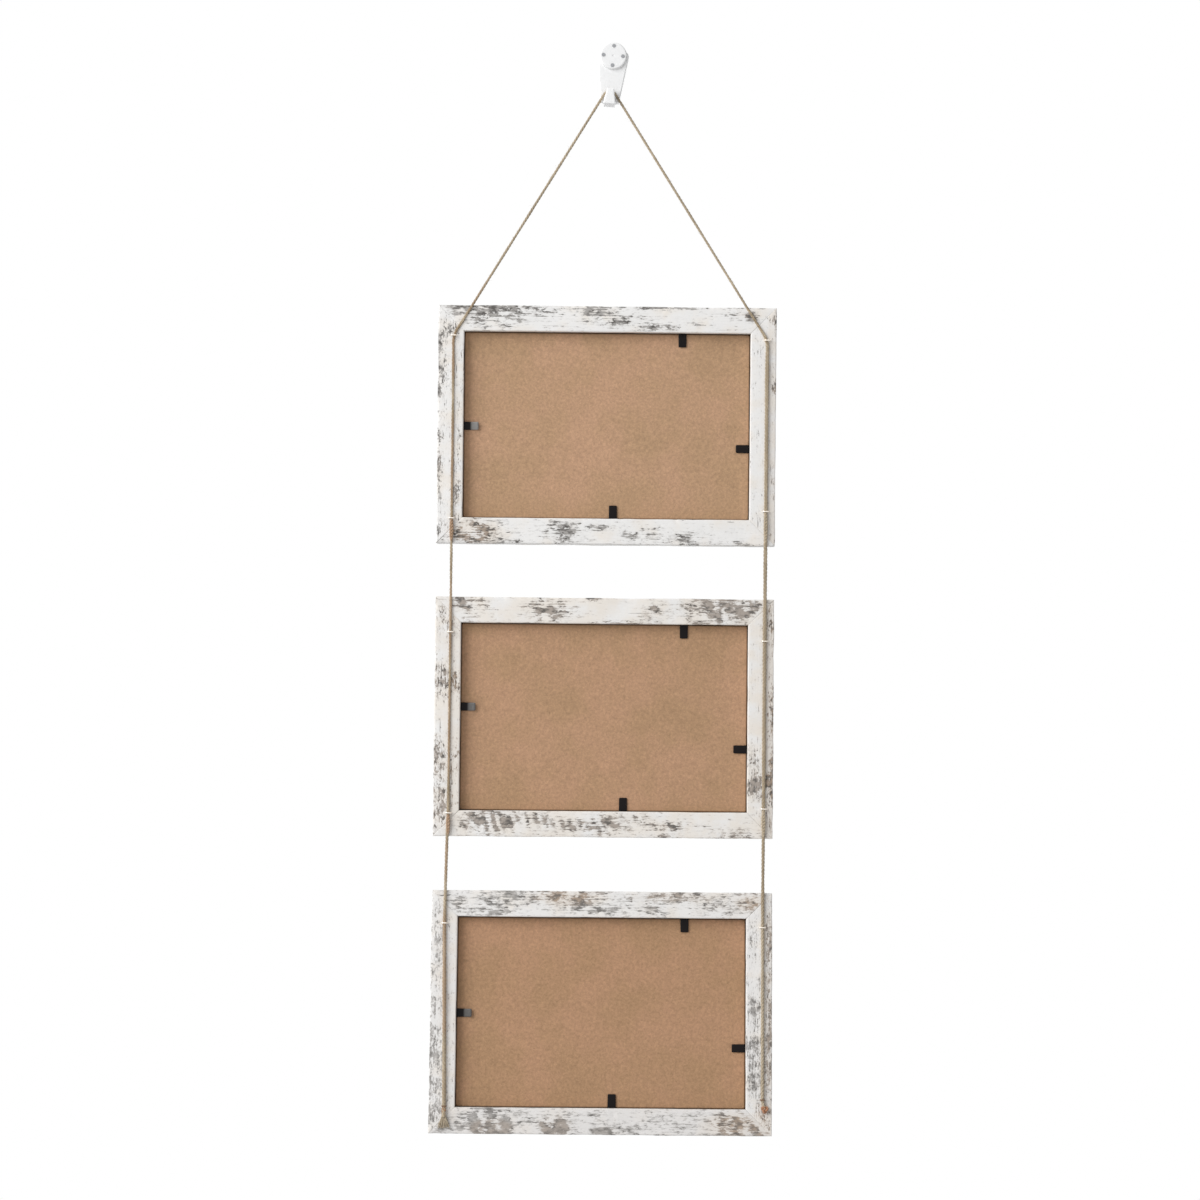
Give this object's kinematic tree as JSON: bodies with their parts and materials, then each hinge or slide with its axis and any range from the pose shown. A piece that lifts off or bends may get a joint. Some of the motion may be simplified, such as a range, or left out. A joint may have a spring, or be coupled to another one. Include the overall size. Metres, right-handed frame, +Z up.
{
  "type": "collage photo frame",
  "caption": "Hanging collage photo frame: small wooden frames strung one below another on twine from a pinned wall hook, backing boards held by bendable tabs.",
  "frame": {"origin": "centre of the hook's round head on the wall plane, at the middle of the pin circle", "axes": "+Z up, +Y into the wall along the pins, +X to the right when facing the wall; the frames' backs face -Y"},
  "size_m": [0.1864, 0.0555, 0.6019],
  "materials": {
    "painted_wood": "worn white paint over wood, matte",
    "glass": "clear, polished",
    "photo_paper": "bare off-white card",
    "fibreboard": "raw brown fibreboard, matte",
    "tab_steel": "black lacquer, satin",
    "staple_steel": "copper-washed wire",
    "nail_steel": "bare steel",
    "twine": "natural jute",
    "hook_plastic": "white, satin gloss",
    "pin_steel": "hardened steel"
  },
  "bodies": {
    "wall_hook": {"hook_body": "hook_plastic", "hook_pins": "pin_steel"},
    "hanger": {"hanger_twine": "twine"},
    "upper_frame": {"upper_frame_top_rail": "painted_wood", "upper_frame_bottom_rail": "painted_wood", "upper_frame_left_stile": "painted_wood", "upper_frame_right_stile": "painted_wood", "upper_frame_glazing": "glass", "upper_frame_photo_insert": "photo_paper", "upper_frame_backing_board": "fibreboard", "upper_frame_corner_nails": "nail_steel", "upper_frame_staples": "staple_steel", "upper_frame_tab_shanks": "tab_steel", "upper_frame_twine_runs": "twine"},
    "upper_link": {"upper_link_twine": "twine"},
    "middle_frame": {"middle_frame_top_rail": "painted_wood", "middle_frame_bottom_rail": "painted_wood", "middle_frame_left_stile": "painted_wood", "middle_frame_right_stile": "painted_wood", "middle_frame_glazing": "glass", "middle_frame_photo_insert": "photo_paper", "middle_frame_backing_board": "fibreboard", "middle_frame_corner_nails": "nail_steel", "middle_frame_staples": "staple_steel", "middle_frame_tab_shanks": "tab_steel", "middle_frame_twine_runs": "twine"},
    "lower_link": {"lower_link_twine": "twine"},
    "lower_frame": {"lower_frame_top_rail": "painted_wood", "lower_frame_bottom_rail": "painted_wood", "lower_frame_left_stile": "painted_wood", "lower_frame_right_stile": "painted_wood", "lower_frame_glazing": "glass", "lower_frame_photo_insert": "photo_paper", "lower_frame_backing_board": "fibreboard", "lower_frame_corner_nails": "nail_steel", "lower_frame_staples": "staple_steel", "lower_frame_tab_shanks": "tab_steel", "lower_frame_twine_runs": "twine"},
    "upper_frame_tab_top": {"upper_frame_tab_top": "tab_steel"},
    "upper_frame_tab_right": {"upper_frame_tab_right": "tab_steel"},
    "upper_frame_tab_bottom": {"upper_frame_tab_bottom": "tab_steel"},
    "upper_frame_tab_left": {"upper_frame_tab_left": "tab_steel"},
    "middle_frame_tab_top": {"middle_frame_tab_top": "tab_steel"},
    "middle_frame_tab_right": {"middle_frame_tab_right": "tab_steel"},
    "middle_frame_tab_bottom": {"middle_frame_tab_bottom": "tab_steel"},
    "middle_frame_tab_left": {"middle_frame_tab_left": "tab_steel"},
    "lower_frame_tab_top": {"lower_frame_tab_top": "tab_steel"},
    "lower_frame_tab_right": {"lower_frame_tab_right": "tab_steel"},
    "lower_frame_tab_bottom": {"lower_frame_tab_bottom": "tab_steel"},
    "lower_frame_tab_left": {"lower_frame_tab_left": "tab_steel"}
  },
  "joints": [
    {"name": "hanger_sway", "type": "hinge", "parent": "wall_hook", "child": "hanger", "pos_m": [-0.00167, -0.0071, -0.02384], "axis": [0, 1, 0], "range_deg": [-12, 12]},
    {"name": "upper_frame_swing", "type": "hinge", "parent": "hanger", "child": "upper_frame", "pos_m": [-0.00167, -0.01635, -0.13899], "axis": [-1, 0, 0], "range_deg": [-1.5, 43]},
    {"name": "upper_link_swing", "type": "hinge", "parent": "upper_frame", "child": "upper_link", "pos_m": [-0.00167, -0.02003, -0.27224], "axis": [-1, 0, 0], "range_deg": [-58, 60]},
    {"name": "middle_frame_swing", "type": "hinge", "parent": "upper_link", "child": "middle_frame", "pos_m": [-0.00167, -0.02003, -0.29984], "axis": [-1, 0, 0], "range_deg": [-60, 57]},
    {"name": "lower_link_swing", "type": "hinge", "parent": "middle_frame", "child": "lower_link", "pos_m": [-0.00167, -0.02614, -0.433], "axis": [-1, 0, 0], "range_deg": [-57, 60]},
    {"name": "lower_frame_swing", "type": "hinge", "parent": "lower_link", "child": "lower_frame", "pos_m": [-0.00167, -0.02614, -0.4606], "axis": [-1, 0, 0], "range_deg": [-60, 52]},
    {"name": "upper_frame_tab_top_bend", "type": "hinge", "parent": "upper_frame", "child": "upper_frame_tab_top", "pos_m": [0.03983, -0.01123, -0.15474], "axis": [-1, 0, 0], "range_deg": [0, 90]},
    {"name": "upper_frame_tab_right_bend", "type": "hinge", "parent": "upper_frame", "child": "upper_frame_tab_right", "pos_m": [0.07688, -0.01297, -0.21776], "axis": [0, 0.0276, 0.9996], "range_deg": [0, 90]},
    {"name": "upper_frame_tab_bottom_bend", "type": "hinge", "parent": "upper_frame", "child": "upper_frame_tab_bottom", "pos_m": [0.00223, -0.01405, -0.2568], "axis": [1, 0, 0], "range_deg": [0, 90]},
    {"name": "upper_frame_tab_left_bend", "type": "hinge", "parent": "upper_frame", "child": "upper_frame_tab_left", "pos_m": [-0.08022, -0.01266, -0.20647], "axis": [0, -0.0276, -0.9996], "range_deg": [0, 90]},
    {"name": "middle_frame_tab_top_bend", "type": "hinge", "parent": "middle_frame", "child": "middle_frame_tab_top", "pos_m": [0.04203, -0.0152, -0.31568], "axis": [-1, 0, 0], "range_deg": [0, 90]},
    {"name": "middle_frame_tab_right_bend", "type": "hinge", "parent": "middle_frame", "child": "middle_frame_tab_right", "pos_m": [0.07688, -0.01831, -0.38346], "axis": [0, 0.0459, 0.9989], "range_deg": [0, 90]},
    {"name": "middle_frame_tab_bottom_bend", "type": "hinge", "parent": "middle_frame", "child": "middle_frame_tab_bottom", "pos_m": [0.00933, -0.01988, -0.41767], "axis": [1, 0, 0], "range_deg": [0, 90]},
    {"name": "middle_frame_tab_left_bend", "type": "hinge", "parent": "middle_frame", "child": "middle_frame_tab_left", "pos_m": [-0.08022, -0.0173, -0.36138], "axis": [0, -0.0459, -0.9989], "range_deg": [0, 90]},
    {"name": "lower_frame_tab_top_bend", "type": "hinge", "parent": "lower_frame", "child": "lower_frame_tab_top", "pos_m": [0.04373, -0.02278, -0.47681], "axis": [-1, 0, 0], "range_deg": [0, 90]},
    {"name": "lower_frame_tab_right_bend", "type": "hinge", "parent": "lower_frame", "child": "lower_frame_tab_right", "pos_m": [0.07688, -0.0323, -0.54591], "axis": [0, 0.1366, 0.9906], "range_deg": [0, 90]},
    {"name": "lower_frame_tab_bottom_bend", "type": "hinge", "parent": "lower_frame", "child": "lower_frame_tab_bottom", "pos_m": [0.00453, -0.03672, -0.57796], "axis": [1, 0, 0], "range_deg": [0, 90]},
    {"name": "lower_frame_tab_left_bend", "type": "hinge", "parent": "lower_frame", "child": "lower_frame_tab_left", "pos_m": [-0.08022, -0.02986, -0.52818], "axis": [0, -0.1366, -0.9906], "range_deg": [0, 90]}
  ]
}
